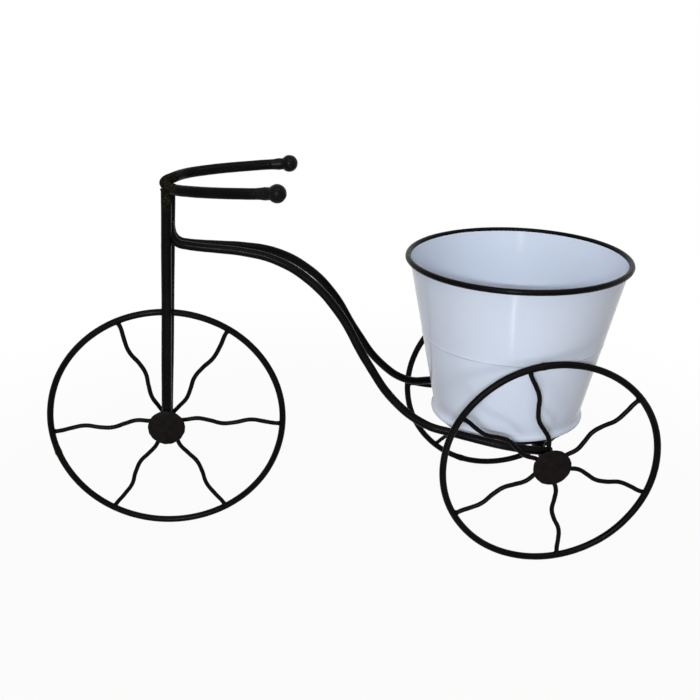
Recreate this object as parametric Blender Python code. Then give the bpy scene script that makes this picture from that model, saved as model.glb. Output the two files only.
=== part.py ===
"""Bicycle planter: a welded three-wheeled rod frame that carries a lift-out metal bucket.

The front wheel is towards -X, the handlebar and the bucket are on top, and the floor is z = 0.
The origin lies on the floor, under the middle of the object's box.
Lengths are in metres and angles in degrees.
"""
import math

import bmesh
import bpy
from mathutils import Vector

# Directions
ACROSS = (math.pi / 2, 0, 0)
OUTWARD = {"left": -1, "right": 1}

# Fits
FIT_GAP = 0.0003
RUNNING_GAP = 0.0004
JOIN_DISTANCE = 0.00001

# Wheels
RIM_ROD_RADIUS = 0.0032
FRONT_RIM_RADIUS = 0.112
REAR_RIM_RADIUS = 0.0988
WHEELBASE = 0.3506

# Spokes, bent from thin rod into a wave and welded in by eye, so their spacing is uneven
SPOKE_RADIUS = 0.0021
SPOKE_WAVE = 0.0034
SPOKE_LENGTH_SHARES = (0.0, 0.09, 0.2, 0.32, 0.44, 0.56, 0.71, 0.85, 0.95, 1.0)
SPOKE_WAVE_SHARES = (0.0, 0.45, 1.0, 0.35, -0.45, -0.1, 0.95, 0.6, 0.1, 0.0)
FRONT_SPOKE_ANGLES = (-4.0, 56.0, 111.0, 184.0, 238.0, 298.0)
FRONT_SPOKE_SIDES = (1, -1, 1, -1, 1, -1)
LEFT_SPOKE_ANGLES = (40.0, 106.0, 149.0, 209.0, 279.0, 340.0)
LEFT_SPOKE_SIDES = (-1, -1, 1, 1, 1, 1)
RIGHT_SPOKE_ANGLES = (-9.5, 50.5, 110.5, 179.0, 229.0, 290.5)
RIGHT_SPOKE_SIDES = (1, -1, 1, 1, 1, -1)

# Hubs, axles and the round caps on their ends
HUB_RADIUS = 0.009
HUB_WIDTH = 0.008
HUB_EDGE = 0.0006
FRONT_AXLE_RADIUS = 0.004
REAR_AXLE_RADIUS = 0.005
CAP_RADIUS = 0.018
SMALL_CAP_RADIUS = 0.0056
CAP_THICKNESS = 0.0026
CAP_RADIUS_SHARES = (1.0, 1.0, 0.93, 0.55)
CAP_HEIGHT_SHARES = (0.0, 0.5, 0.8, 0.97)

# Fork, of the same heavy rod as the handlebar
FORK_ROD_RADIUS = 0.0048
FORK_HALF_SPREAD = 0.0095
FORK_TOP_SETBACK = 0.0145
FORK_EYE_RADIUS = 0.007
FORK_EYE_WIDTH = 0.0098

# Handlebar, one bent rod with a turned ball on each end
HANDLEBAR_HEIGHT = 0.3488
HANDLEBAR_RISE = 0.004
HANDLEBAR_REACH = 0.1036
HANDLEBAR_HALF_WIDTH = 0.0625
HANDLEBAR_NOSE = 0.0021
HANDLEBAR_TURN = 7.6
HANDLEBAR_REACH_SHARES = (0.0, 0.029, 0.135, 0.29, 0.532, 0.78, 0.846)
HANDLEBAR_WIDTH_SHARES = (0.0, 0.216, 0.555, 0.726, 0.875, 0.972, 0.985)
BALL_RADIUS = 0.0079
BALL_NECK_LENGTH = 0.0085
BALL_NECK_FLARE = 0.0011
BALL_NECK_SHARE = 0.42
BALL_BLEND_ANGLE = 42.0

# Backbone, two bent rods from the back of the fork to the rear axle
FRAME_ROD_RADIUS = 0.004
BACKBONE_HEIGHT = 0.2915
BACKBONE_BEND_RADIUS = 0.014
BACKBONE_TAIL_LENGTH = 0.008
BACKBONE_SETBACK = 0.0034
BACKBONE_COPE_LENGTH = 0.1
BACKBONE_HALF_SPREAD = 0.0043
BACKBONE_AXLE_OVERRUN = 0.003
BACKBONE_TAIL_SPREAD = 0.0047
BUCKET_FOOT_CLEARANCE = 0.0008
BUCKET_WALL_CLEARANCE = 0.002
BACKBONE_RUN_SHARES = (
    0.0, 0.029, 0.09, 0.152, 0.244, 0.337, 0.414, 0.49,
    0.568, 0.661, 0.737, 0.799, 0.851, 0.898, 0.944, 1.0)
BACKBONE_HEIGHT_SHARES = (
    1.0, 0.992, 0.981, 0.968, 0.926, 0.824, 0.669, 0.423,
    0.216, 0.085, 0.055, 0.041, 0.028, 0.016, 0.006, 0.0)
BACKBONE_SPREAD_SHARES = (
    0.0, 0.012, 0.034, 0.064, 0.129, 0.206, 0.303, 0.43,
    0.523, 0.600, 0.705, 0.819, 0.900, 0.944, 0.974, 1.0)

# Ring under the bucket
SEAT_RING_SHARE = 0.875
BUCKET_SETFORWARD = 0.0176

# Bucket
BUCKET_HEIGHT = 0.1577
BUCKET_SHEET = 0.0012
BUCKET_BASE_RADIUS = 0.0702
BUCKET_TOP_RADIUS = 0.0998
FOOT_HEIGHT = 0.0056
FOOT_FLARE = 0.0026
FOOT_FLARE_SHARES = (0.75, 1.0, 1.0, 0.6)
FOOT_HEIGHT_SHARES = (0.0, 0.12, 0.42, 0.8)
CREASE_HEIGHT_SHARE = 0.514
CREASE_DEPTH = 0.0005
CREASE_HALF_WIDTH = 0.0014
BEAD_RADIUS = 0.0027
FLOOR_RAISE = 0.0002
FLOOR_FLANGE_HEIGHT = 0.0065
FLOOR_CORNER = 0.0012

# Smoothness of the round shapes
RIM_SEGMENTS = 56
RIM_ROD_SIDES = 8
BUCKET_SEGMENTS = 56
BEAD_SIDES = 10
SEAT_RING_SEGMENTS = 40
CAP_SEGMENTS = 28
HUB_SEGMENTS = 24
BALL_SEGMENTS = 16
BALL_STEPS = 7
BEND_STEPS = 3
BACKBONE_STEPS = 2
HEAVY_ROD_RESOLUTION = 3
THIN_ROD_RESOLUTION = 1
SHARP_ANGLE = 40.0

# Paint and enamel: colour, roughness, metallic
FRAME_PAINT = ((0.014, 0.012, 0.013, 1.0), 0.38, 0.15)
WHEEL_PAINT = ((0.017, 0.014, 0.014, 1.0), 0.45, 0.15)
CAP_PAINT = ((0.022, 0.015, 0.013, 1.0), 0.5, 0.1)
BALL_PAINT = ((0.012, 0.011, 0.013, 1.0), 0.25, 0.2)
BUCKET_ENAMEL = ((0.72, 0.75, 0.82, 1.0), 0.2, 0.0)
BEAD_PAINT = ((0.012, 0.011, 0.012, 1.0), 0.3, 0.0)

# Places that follow from the sizes
front_wheel_outer = FRONT_RIM_RADIUS + RIM_ROD_RADIUS
rear_wheel_outer = REAR_RIM_RADIUS + RIM_ROD_RADIUS
overall_length = front_wheel_outer + WHEELBASE + rear_wheel_outer
front_axle_x = front_wheel_outer - overall_length / 2
rear_axle_x = front_axle_x + WHEELBASE
front_hub_centre = Vector((front_axle_x, 0, front_wheel_outer))
rear_hub_height = rear_wheel_outer
rear_axle_top = rear_hub_height + REAR_AXLE_RADIUS
fork_top_height = HANDLEBAR_HEIGHT - FORK_ROD_RADIUS - FIT_GAP
eye_outer_y = FORK_HALF_SPREAD + FORK_EYE_WIDTH / 2
fork_hub_half_width = FORK_HALF_SPREAD - FORK_EYE_WIDTH / 2 - FIT_GAP
bucket_x = rear_axle_x - BUCKET_SETFORWARD
seat_ring_radius = BUCKET_BASE_RADIUS * SEAT_RING_SHARE
seat_ring_height = rear_axle_top + FIT_GAP + FRAME_ROD_RADIUS
seat_ring_top = seat_ring_height + FRAME_ROD_RADIUS
bucket_foot_height = seat_ring_top + FIT_GAP - FLOOR_RAISE
bead_centre_height = BUCKET_HEIGHT - BEAD_RADIUS
wall_top_height = bead_centre_height - FIT_GAP
bead_centre_radius = BUCKET_TOP_RADIUS - BUCKET_SHEET + BEAD_RADIUS


def wall_radius(height):
    """Outer radius of the bucket's tapered sheet at a height above its foot."""
    share = (height - FOOT_HEIGHT) / (wall_top_height - FOOT_HEIGHT)
    return BUCKET_BASE_RADIUS + (BUCKET_TOP_RADIUS - BUCKET_BASE_RADIUS) * share


# The rear wheels clear the bucket's wall, and the backbone rods clear its foot
foot_radius = BUCKET_BASE_RADIUS + FOOT_FLARE
wheel_top_on_bucket = rear_wheel_outer * 2 - bucket_foot_height
track_past_wall = wall_radius(wheel_top_on_bucket) + BUCKET_WALL_CLEARANCE + RIM_ROD_RADIUS
rod_past_foot = foot_radius + BUCKET_FOOT_CLEARANCE + FRAME_ROD_RADIUS + BACKBONE_TAIL_SPREAD
track_past_foot = rod_past_foot + FRAME_ROD_RADIUS + FIT_GAP + HUB_WIDTH / 2
rear_half_track = max(track_past_wall, track_past_foot)
rear_axle_half_length = rear_half_track + HUB_WIDTH / 2


def clear_scene():
    """Empty the scene, so that only the planter is left in it."""
    for old in list(bpy.data.objects):
        bpy.data.objects.remove(old, do_unlink=True)


def add_finish(piece, finish):
    """Give a piece its own material."""
    colour, roughness, metallic = finish
    material = bpy.data.materials.new(piece.name + "_finish")
    material.use_nodes = True
    shader = material.node_tree.nodes["Principled BSDF"]
    shader.inputs["Base Color"].default_value = colour
    shader.inputs["Roughness"].default_value = roughness
    shader.inputs["Metallic"].default_value = metallic
    material.diffuse_color = colour
    piece.data.materials.append(material)


def add_piece(name, mesh, finish, place=(0, 0, 0), turn=(0, 0, 0), parent=None):
    """Put a named piece into the scene."""
    piece = bpy.data.objects.new(name, mesh)
    bpy.context.scene.collection.objects.link(piece)
    piece.location = place
    piece.rotation_euler = turn
    piece.parent = parent
    if finish is not None:
        add_finish(piece, finish)
    return piece


def finish_mesh(shape, name):
    """Close the seams of a shape, turn its faces outward and shade it smooth."""
    bmesh.ops.remove_doubles(shape, verts=shape.verts, dist=JOIN_DISTANCE)
    bmesh.ops.recalc_face_normals(shape, faces=shape.faces)
    mesh = bpy.data.meshes.new(name)
    shape.to_mesh(mesh)
    shape.free()
    mesh.shade_smooth()
    mesh.set_sharp_from_angle(angle=math.radians(SHARP_ANGLE))
    return mesh


def bent_rod(name, stations, radius, resolution, steps):
    """Round rod with flat ends that runs smoothly through the stations."""
    curve = bpy.data.curves.new(name, "CURVE")
    curve.dimensions = "3D"
    curve.bevel_depth = radius
    curve.bevel_resolution = resolution
    curve.use_fill_caps = True
    curve.resolution_u = steps
    spline = curve.splines.new("BEZIER")
    spline.bezier_points.add(len(stations) - 1)
    for point, station in zip(spline.bezier_points, stations):
        point.co = station
        point.handle_left_type = "AUTO"
        point.handle_right_type = "AUTO"
    guide = bpy.data.objects.new(name, curve)
    bpy.context.scene.collection.objects.link(guide)
    view = bpy.context.evaluated_depsgraph_get()
    shape = bmesh.new()
    shape.from_mesh(guide.evaluated_get(view).to_mesh())
    bpy.data.objects.remove(guide)
    bpy.data.curves.remove(curve)
    return finish_mesh(shape, name)


def turned_shape(name, outline, segments, closed):
    """Turn an outline of (radius, height) points about the Z axis."""
    shape = bmesh.new()
    points = [shape.verts.new((radius, 0, height)) for radius, height in outline]
    edges = [shape.edges.new(pair) for pair in zip(points, points[1:])]
    if closed:
        edges.append(shape.edges.new((points[-1], points[0])))
    bmesh.ops.spin(
        shape, geom=points + edges, cent=(0, 0, 0), axis=(0, 0, 1),
        angle=math.tau, steps=segments, use_merge=True)
    return finish_mesh(shape, name)


def round_section(centre_radius, centre_height, radius, sides):
    """Outline of a rod that is bent into a ring."""
    angles = [math.tau * side / sides for side in range(sides)]
    return [
        (centre_radius + radius * math.cos(angle), centre_height + radius * math.sin(angle))
        for angle in angles]


def shared_outline(width, height, width_shares, height_shares):
    """Outline points from a width, a height and the shares of each."""
    return [
        (width * across, height * up) for across, up in zip(width_shares, height_shares)]


def add_cutter(name, radius, length, place, direction):
    """Plain cylinder that shapes another piece and is not part of the object."""
    shape = bmesh.new()
    bmesh.ops.create_cone(
        shape, cap_ends=True, segments=HUB_SEGMENTS, radius1=radius, radius2=radius, depth=length)
    cutter = add_piece(name, finish_mesh(shape, name), None, place)
    cutter.rotation_mode = "QUATERNION"
    cutter.rotation_quaternion = Vector(direction).to_track_quat("Z", "Y")
    cutter.hide_render = True
    cutter.display_type = "WIRE"
    return cutter


def add_boolean(piece, tool, operation):
    """Join a tool to a piece or cut it away."""
    change = piece.modifiers.new(tool.name, "BOOLEAN")
    change.operation = operation
    change.solver = "EXACT"
    change.object = tool


def rim_mesh(name, radius):
    """Round rod bent and welded into a wheel rim."""
    outline = round_section(radius, 0, RIM_ROD_RADIUS, RIM_ROD_SIDES)
    return turned_shape(name, outline, RIM_SEGMENTS, True)


def hub_mesh(name, axle_radius, width):
    """Short tube that runs on the axle, with its outer edges broken."""
    bore = axle_radius + RUNNING_GAP
    half = width / 2
    outline = [
        (bore, -half), (HUB_RADIUS - HUB_EDGE, -half), (HUB_RADIUS, HUB_EDGE - half),
        (HUB_RADIUS, half - HUB_EDGE), (HUB_RADIUS - HUB_EDGE, half), (bore, half)]
    return turned_shape(name, outline, HUB_SEGMENTS, True)


def spoke_mesh(name, rim_radius):
    """Waved spoke that lies along X from the hub to the rim."""
    start = HUB_RADIUS + FIT_GAP
    length = rim_radius - RIM_ROD_RADIUS - FIT_GAP - start
    stations = [
        (start + length * along, 0, SPOKE_WAVE * aside)
        for along, aside in zip(SPOKE_LENGTH_SHARES, SPOKE_WAVE_SHARES)]
    return bent_rod(name, stations, SPOKE_RADIUS, THIN_ROD_RESOLUTION, 1)


def add_wheel(name, centre, rim_radius, axle_radius, hub_width, angles, sides):
    """Rim, hub and spokes, each with its origin in the middle of the wheel."""
    add_piece(name + "_rim", rim_mesh(name + "_rim", rim_radius), WHEEL_PAINT, centre, ACROSS)
    hub = hub_mesh(name + "_hub", axle_radius, hub_width)
    add_piece(name + "_hub", hub, WHEEL_PAINT, centre, ACROSS)
    spoke = spoke_mesh(name + "_spoke", rim_radius)
    for number, (angle, wave_side) in enumerate(zip(angles, sides), start=1):
        flip = 0 if wave_side > 0 else math.pi
        turn = (flip, -math.radians(angle), 0)
        add_piece(f"{name}_spoke_{number}", spoke.copy(), WHEEL_PAINT, centre, turn)
    bpy.data.meshes.remove(spoke)


def add_axle(name, radius, half_length, centre):
    """Plain round bar across the planter."""
    outline = [(0, -half_length), (radius, -half_length), (radius, half_length), (0, half_length)]
    mesh = turned_shape(name, outline, HUB_SEGMENTS, False)
    add_piece(name, mesh, FRAME_PAINT, centre, ACROSS)


def add_caps(name, centre, axle_end_y, radii):
    """Domed round cap welded over each end of an axle."""
    for side, sign in OUTWARD.items():
        outline = [(0, 0)]
        outline += shared_outline(
            radii[side], CAP_THICKNESS, CAP_RADIUS_SHARES, CAP_HEIGHT_SHARES)
        outline.append((0, CAP_THICKNESS))
        cap_name = f"{name}_{side}_cap"
        mesh = turned_shape(cap_name, outline, CAP_SEGMENTS, False)
        place = centre + Vector((0, sign * (axle_end_y + FIT_GAP), 0))
        add_piece(cap_name, mesh, CAP_PAINT, place, (-sign * math.pi / 2, 0, 0))


def fork_line(side_y, height):
    """Point on a fork leg's centre line, which twists with the handlebar towards the top."""
    share = (height - front_wheel_outer) / (fork_top_height - front_wheel_outer)
    twist = side_y * math.sin(math.radians(HANDLEBAR_TURN))
    return Vector((front_axle_x + (FORK_TOP_SETBACK + twist) * share, side_y, height))


def add_fork():
    """Two raked legs, each with an eye for the front axle at its foot."""
    for side, sign in OUTWARD.items():
        side_y = sign * FORK_HALF_SPREAD
        foot = fork_line(side_y, front_wheel_outer)
        head = fork_line(side_y, fork_top_height)
        name = f"fork_leg_{side}"
        mesh = bent_rod(name, (foot, head), FORK_ROD_RADIUS, HEAVY_ROD_RESOLUTION, 1)
        leg = add_piece(name, mesh, FRAME_PAINT)
        eye = add_cutter(f"fork_eye_{side}", FORK_EYE_RADIUS, FORK_EYE_WIDTH, foot, (0, 1, 0))
        bore = add_cutter(
            f"fork_bore_{side}", FRONT_AXLE_RADIUS + FIT_GAP, FORK_EYE_WIDTH * 2, foot, (0, 1, 0))
        add_boolean(leg, eye, "UNION")
        add_boolean(leg, bore, "DIFFERENCE")


def ball_mesh(name):
    """Turned ball with a neck that flares from the rod."""
    centre = BALL_NECK_LENGTH + BALL_RADIUS
    outline = [(0, 0), (FORK_ROD_RADIUS, 0)]
    outline.append((FORK_ROD_RADIUS + BALL_NECK_FLARE, BALL_NECK_LENGTH * BALL_NECK_SHARE))
    first = math.radians(BALL_BLEND_ANGLE)
    for step in range(BALL_STEPS + 1):
        angle = first + (math.pi - first) * step / BALL_STEPS
        radius = BALL_RADIUS * math.sin(angle) if step < BALL_STEPS else 0
        outline.append((radius, centre - BALL_RADIUS * math.cos(angle)))
    return turned_shape(name, outline, BALL_SEGMENTS, False)


def add_handlebar():
    """Bent bar across the top of the fork, turned a little from square, with its balls."""
    pivot = bpy.data.objects.new("handlebar_seat", None)
    bpy.context.scene.collection.objects.link(pivot)
    pivot.location = (front_axle_x + FORK_TOP_SETBACK, 0, HANDLEBAR_HEIGHT)
    pivot.rotation_euler = (0, 0, -math.radians(HANDLEBAR_TURN))
    arm = [
        Vector((
            HANDLEBAR_REACH * ahead - HANDLEBAR_NOSE,
            HANDLEBAR_HALF_WIDTH * aside,
            HANDLEBAR_RISE * ahead))
        for ahead, aside in zip(HANDLEBAR_REACH_SHARES, HANDLEBAR_WIDTH_SHARES)]
    mirrored = [Vector((place.x, -place.y, place.z)) for place in arm]
    stations = mirrored[:0:-1] + arm
    mesh = bent_rod("handlebar", stations, FORK_ROD_RADIUS, HEAVY_ROD_RESOLUTION, BEND_STEPS)
    add_piece("handlebar", mesh, FRAME_PAINT, parent=pivot)
    for side, sign in OUTWARD.items():
        mirror = Vector((1, sign, 1))
        bar_end = arm[-1] * mirror
        direction = (bar_end - arm[-2] * mirror).normalized()
        name = f"handlebar_ball_{side}"
        ball = add_piece(name, ball_mesh(name), BALL_PAINT, bar_end + direction * FIT_GAP)
        ball.parent = pivot
        ball.rotation_mode = "QUATERNION"
        ball.rotation_quaternion = direction.to_track_quat("Z", "Y")


def backbone_stations(sign):
    """Centre line of one backbone rod, from its upturned head to the rear axle."""
    half = sign * BACKBONE_HALF_SPREAD
    bend_x = fork_line(0, BACKBONE_HEIGHT).x + BACKBONE_SETBACK + BACKBONE_BEND_RADIUS
    bend_z = BACKBONE_HEIGHT + BACKBONE_BEND_RADIUS
    head = Vector((bend_x - BACKBONE_BEND_RADIUS, half, bend_z + BACKBONE_TAIL_LENGTH))
    stations = [head]
    for step in range(BEND_STEPS):
        angle = math.pi + math.pi / 2 * step / BEND_STEPS
        stations.append(Vector((
            bend_x + BACKBONE_BEND_RADIUS * math.cos(angle), half,
            bend_z + BACKBONE_BEND_RADIUS * math.sin(angle))))
    tail_x = rear_axle_x + BACKBONE_AXLE_OVERRUN
    tail_z = rear_axle_top + FIT_GAP + FRAME_ROD_RADIUS
    tail_y = rear_half_track - HUB_WIDTH / 2 - FIT_GAP - FRAME_ROD_RADIUS
    shares = zip(BACKBONE_RUN_SHARES, BACKBONE_HEIGHT_SHARES, BACKBONE_SPREAD_SHARES)
    for run, rise, spread in shares:
        stations.append(Vector((
            bend_x + (tail_x - bend_x) * run,
            half + sign * (tail_y - BACKBONE_HALF_SPREAD) * spread,
            tail_z + (BACKBONE_HEIGHT - tail_z) * rise)))
    return stations


def add_backbone():
    """Two rods that leave the fork side by side, spread and fall to the rear axle."""
    for side, sign in OUTWARD.items():
        name = f"backbone_rod_{side}"
        mesh = bent_rod(
            name, backbone_stations(sign), FRAME_ROD_RADIUS, HEAVY_ROD_RESOLUTION, BACKBONE_STEPS)
        rod = add_piece(name, mesh, FRAME_PAINT)
        leg_y = sign * FORK_HALF_SPREAD
        middle = fork_line(leg_y, BACKBONE_HEIGHT)
        direction = fork_line(leg_y, HANDLEBAR_HEIGHT) - middle
        cope = add_cutter(
            f"backbone_cope_{side}", FORK_ROD_RADIUS + FIT_GAP, BACKBONE_COPE_LENGTH, middle,
            direction)
        add_boolean(rod, cope, "DIFFERENCE")


def add_seat_ring():
    """Ring on the rear axle that the bucket stands on."""
    outline = round_section(seat_ring_radius, 0, FRAME_ROD_RADIUS, RIM_ROD_SIDES)
    mesh = turned_shape("bucket_seat_ring", outline, SEAT_RING_SEGMENTS, True)
    add_piece("bucket_seat_ring", mesh, FRAME_PAINT, (bucket_x, 0, seat_ring_height))


def wall_mesh():
    """Tapered sheet with a rolled foot and a shallow crease."""
    crease = BUCKET_HEIGHT * CREASE_HEIGHT_SHARE
    below = crease - CREASE_HALF_WIDTH
    above = crease + CREASE_HALF_WIDTH
    outline = [(wall_radius(0) - BUCKET_SHEET, 0)]
    outline += [
        (BUCKET_BASE_RADIUS + FOOT_FLARE * out, FOOT_HEIGHT * up)
        for out, up in zip(FOOT_FLARE_SHARES, FOOT_HEIGHT_SHARES)]
    outline += [
        (wall_radius(FOOT_HEIGHT), FOOT_HEIGHT),
        (wall_radius(below), below),
        (wall_radius(crease) + CREASE_DEPTH, crease),
        (wall_radius(above), above),
        (wall_radius(wall_top_height), wall_top_height),
        (wall_radius(wall_top_height) - BUCKET_SHEET, wall_top_height),
        (wall_radius(above) - BUCKET_SHEET, above),
        (wall_radius(crease) - BUCKET_SHEET + CREASE_DEPTH, crease),
        (wall_radius(below) - BUCKET_SHEET, below)]
    return turned_shape("bucket_wall", outline, BUCKET_SEGMENTS, True)


def floor_mesh():
    """Shallow pan pressed into the bottom of the wall, flange upwards."""
    top = FLOOR_RAISE + FLOOR_FLANGE_HEIGHT
    inner_floor = FLOOR_RAISE + BUCKET_SHEET
    corner = FLOOR_RAISE + FLOOR_CORNER

    def fit(height):
        return wall_radius(height) - BUCKET_SHEET - FIT_GAP

    outline = [
        (0, FLOOR_RAISE),
        (fit(FLOOR_RAISE) - FLOOR_CORNER, FLOOR_RAISE),
        (fit(corner), corner),
        (fit(top), top),
        (fit(top) - BUCKET_SHEET, top),
        (fit(corner) - BUCKET_SHEET, corner + BUCKET_SHEET),
        (fit(corner) - BUCKET_SHEET - FLOOR_CORNER, inner_floor),
        (0, inner_floor)]
    return turned_shape("bucket_floor", outline, BUCKET_SEGMENTS, False)


def bead_mesh():
    """Round bead with a rebate inside it for the top edge of the wall."""
    rebate_radius = BUCKET_TOP_RADIUS + FIT_GAP
    reach = rebate_radius - bead_centre_radius
    first = -math.acos(reach / BEAD_RADIUS)
    outline = [(rebate_radius, bead_centre_height)]
    for step in range(BEAD_SIDES):
        angle = first + (math.pi - first) * step / (BEAD_SIDES - 1)
        outline.append((
            bead_centre_radius + BEAD_RADIUS * math.cos(angle),
            bead_centre_height + BEAD_RADIUS * math.sin(angle)))
    return turned_shape("bucket_rim_bead", outline, BUCKET_SEGMENTS, True)


def add_bucket():
    """Wall, floor and bead, which lift out of the frame together."""
    foot = (bucket_x, 0, bucket_foot_height)
    add_piece("bucket_wall", wall_mesh(), BUCKET_ENAMEL, foot)
    add_piece("bucket_floor", floor_mesh(), BUCKET_ENAMEL, foot)
    add_piece("bucket_rim_bead", bead_mesh(), BEAD_PAINT, foot)


def build_planter():
    """Put the whole planter together."""
    clear_scene()
    front_hub_width = fork_hub_half_width * 2
    add_wheel(
        "front_wheel", front_hub_centre, FRONT_RIM_RADIUS, FRONT_AXLE_RADIUS, front_hub_width,
        FRONT_SPOKE_ANGLES, FRONT_SPOKE_SIDES)
    spokes = {
        "left": (LEFT_SPOKE_ANGLES, LEFT_SPOKE_SIDES),
        "right": (RIGHT_SPOKE_ANGLES, RIGHT_SPOKE_SIDES)}
    for side, sign in OUTWARD.items():
        centre = Vector((rear_axle_x, sign * rear_half_track, rear_hub_height))
        add_wheel(
            f"rear_{side}_wheel", centre, REAR_RIM_RADIUS, REAR_AXLE_RADIUS, HUB_WIDTH,
            *spokes[side])
    rear_middle = Vector((rear_axle_x, 0, rear_hub_height))
    add_axle("front_axle", FRONT_AXLE_RADIUS, eye_outer_y, front_hub_centre)
    add_axle("rear_axle", REAR_AXLE_RADIUS, rear_axle_half_length, rear_middle)
    front_caps = {"left": CAP_RADIUS, "right": SMALL_CAP_RADIUS}
    add_caps("front_axle", front_hub_centre, eye_outer_y, front_caps)
    rear_caps = {"left": CAP_RADIUS, "right": CAP_RADIUS}
    add_caps("rear_axle", rear_middle, rear_axle_half_length, rear_caps)
    add_fork()
    add_handlebar()
    add_backbone()
    add_seat_ring()
    add_bucket()
    bpy.context.view_layer.update()


build_planter()
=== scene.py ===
"""Looks of the bicycle planter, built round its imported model.

The front wheel is towards -X, the planter's right side is towards +Y, and the floor is z = 0.
Lengths are in metres, angles in degrees, and scales of noise in waves per metre.
"""

import math

import bmesh
import bpy
from mathutils import Matrix, Vector, noise


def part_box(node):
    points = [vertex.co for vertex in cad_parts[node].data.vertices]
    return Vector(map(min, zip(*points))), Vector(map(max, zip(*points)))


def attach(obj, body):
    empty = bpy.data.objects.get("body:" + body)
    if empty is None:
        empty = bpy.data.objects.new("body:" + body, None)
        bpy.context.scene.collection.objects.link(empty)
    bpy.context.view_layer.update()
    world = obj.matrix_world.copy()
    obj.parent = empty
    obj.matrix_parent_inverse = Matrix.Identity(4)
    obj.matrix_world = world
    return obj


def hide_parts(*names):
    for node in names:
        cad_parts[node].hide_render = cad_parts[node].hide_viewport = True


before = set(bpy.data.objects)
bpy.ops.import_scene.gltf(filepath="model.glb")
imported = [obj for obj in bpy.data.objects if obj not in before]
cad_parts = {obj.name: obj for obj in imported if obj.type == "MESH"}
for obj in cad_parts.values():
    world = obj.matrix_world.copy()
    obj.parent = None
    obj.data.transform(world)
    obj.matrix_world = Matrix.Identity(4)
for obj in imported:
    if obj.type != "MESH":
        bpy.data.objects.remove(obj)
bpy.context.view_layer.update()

MM = 0.001
SIDES = {"left": -1, "right": 1}


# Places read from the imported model
def middle(node):
    low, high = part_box(node)
    return (low + high) / 2


def extent(node):
    low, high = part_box(node)
    return high - low


# The spokes' angles and the side that each wave starts on are the part's own
WHEELS = {
    "front_wheel": {
        "angles": (-4.0, 56.0, 111.0, 184.0, 238.0, 298.0), "sides": (1, -1, 1, -1, 1, -1),
        "bore": 4.4 * MM, "weld_angle": 196.0},
    "rear_left_wheel": {
        "angles": (40.0, 106.0, 149.0, 209.0, 279.0, 340.0), "sides": (-1, -1, 1, 1, 1, 1),
        "bore": 5.4 * MM, "weld_angle": 99.0},
    "rear_right_wheel": {
        "angles": (-9.5, 50.5, 110.5, 179.0, 229.0, 290.5), "sides": (1, -1, 1, 1, 1, -1),
        "bore": 5.4 * MM, "weld_angle": 250.0},
}
for wheel, facts in WHEELS.items():
    facts["centre"] = middle(wheel + "_rim")
    facts["rod"] = extent(wheel + "_rim").y / 2
    facts["radius"] = extent(wheel + "_rim").z / 2 - facts["rod"]
    facts["hub_width"] = extent(wheel + "_hub").y
    facts["hub_radius"] = extent(wheel + "_hub").z / 2

front_hub = WHEELS["front_wheel"]["centre"]
rear_hub = middle("rear_axle")
rear_top = rear_hub.z + extent("rear_axle").z / 2
half_track = WHEELS["rear_right_wheel"]["centre"].y
bucket_low, bucket_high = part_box("bucket_wall")
bucket_x = (bucket_low.x + bucket_high.x) / 2
bucket_foot = bucket_low.z
crease_level = bucket_foot + 81.0 * MM

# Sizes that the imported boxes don't give, the same as the part's
FIT = 0.3 * MM
ROD = 4.0 * MM
HEAVY_ROD = 4.8 * MM
SPOKE = 2.1 * MM
SPOKE_WAVE = 3.4 * MM
SPOKE_LENGTH_SHARES = (0.0, 0.09, 0.2, 0.32, 0.44, 0.56, 0.71, 0.85, 0.95, 1.0)
SPOKE_WAVE_SHARES = (0.0, 0.45, 1.0, 0.35, -0.45, -0.1, 0.95, 0.6, 0.1, 0.0)
HANDLEBAR_HEIGHT = 348.8 * MM
HANDLEBAR_TURN = math.radians(7.6)
FORK_SETBACK = 14.5 * MM
FORK_SPREAD = 9.5 * MM
fork_top = HANDLEBAR_HEIGHT - HEAVY_ROD - FIT

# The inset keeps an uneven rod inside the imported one
ROD_INSET = 0.05 * MM
ROD_CHAMFER = 0.35 * MM
JOIN_DISTANCE = 1e-6


# Mesh helpers
def turns(count):
    """Evenly spaced angles once round."""
    return [math.tau * step / count for step in range(count)]


def wobble(point, scale, seed):
    """Smooth noise from about -1 to 1 at a point, the same on each run."""
    return noise.noise(Vector(point) * scale + Vector((seed * 7.31, seed * 3.17, seed * 5.77)))


def wobble3(point, scale, seed):
    return Vector([wobble(point, scale, seed + share) for share in (0.0, 0.37, 0.71)])


def add_piece(name, shape, body, slot, node=None, sharp=50.0):
    """A smooth piece from a built shape, on a body, in a slot's look, and for a node if given."""
    bmesh.ops.remove_doubles(shape, verts=shape.verts, dist=JOIN_DISTANCE)
    bmesh.ops.recalc_face_normals(shape, faces=shape.faces)
    mesh = bpy.data.meshes.new(name)
    shape.to_mesh(mesh)
    shape.free()
    mesh.shade_smooth()
    mesh.set_sharp_from_angle(angle=math.radians(sharp))
    mesh.materials.append(LOOKS[slot])
    piece = bpy.data.objects.new(name, mesh)
    bpy.context.scene.collection.objects.link(piece)
    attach(piece, body)
    if node:
        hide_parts(node)


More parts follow.
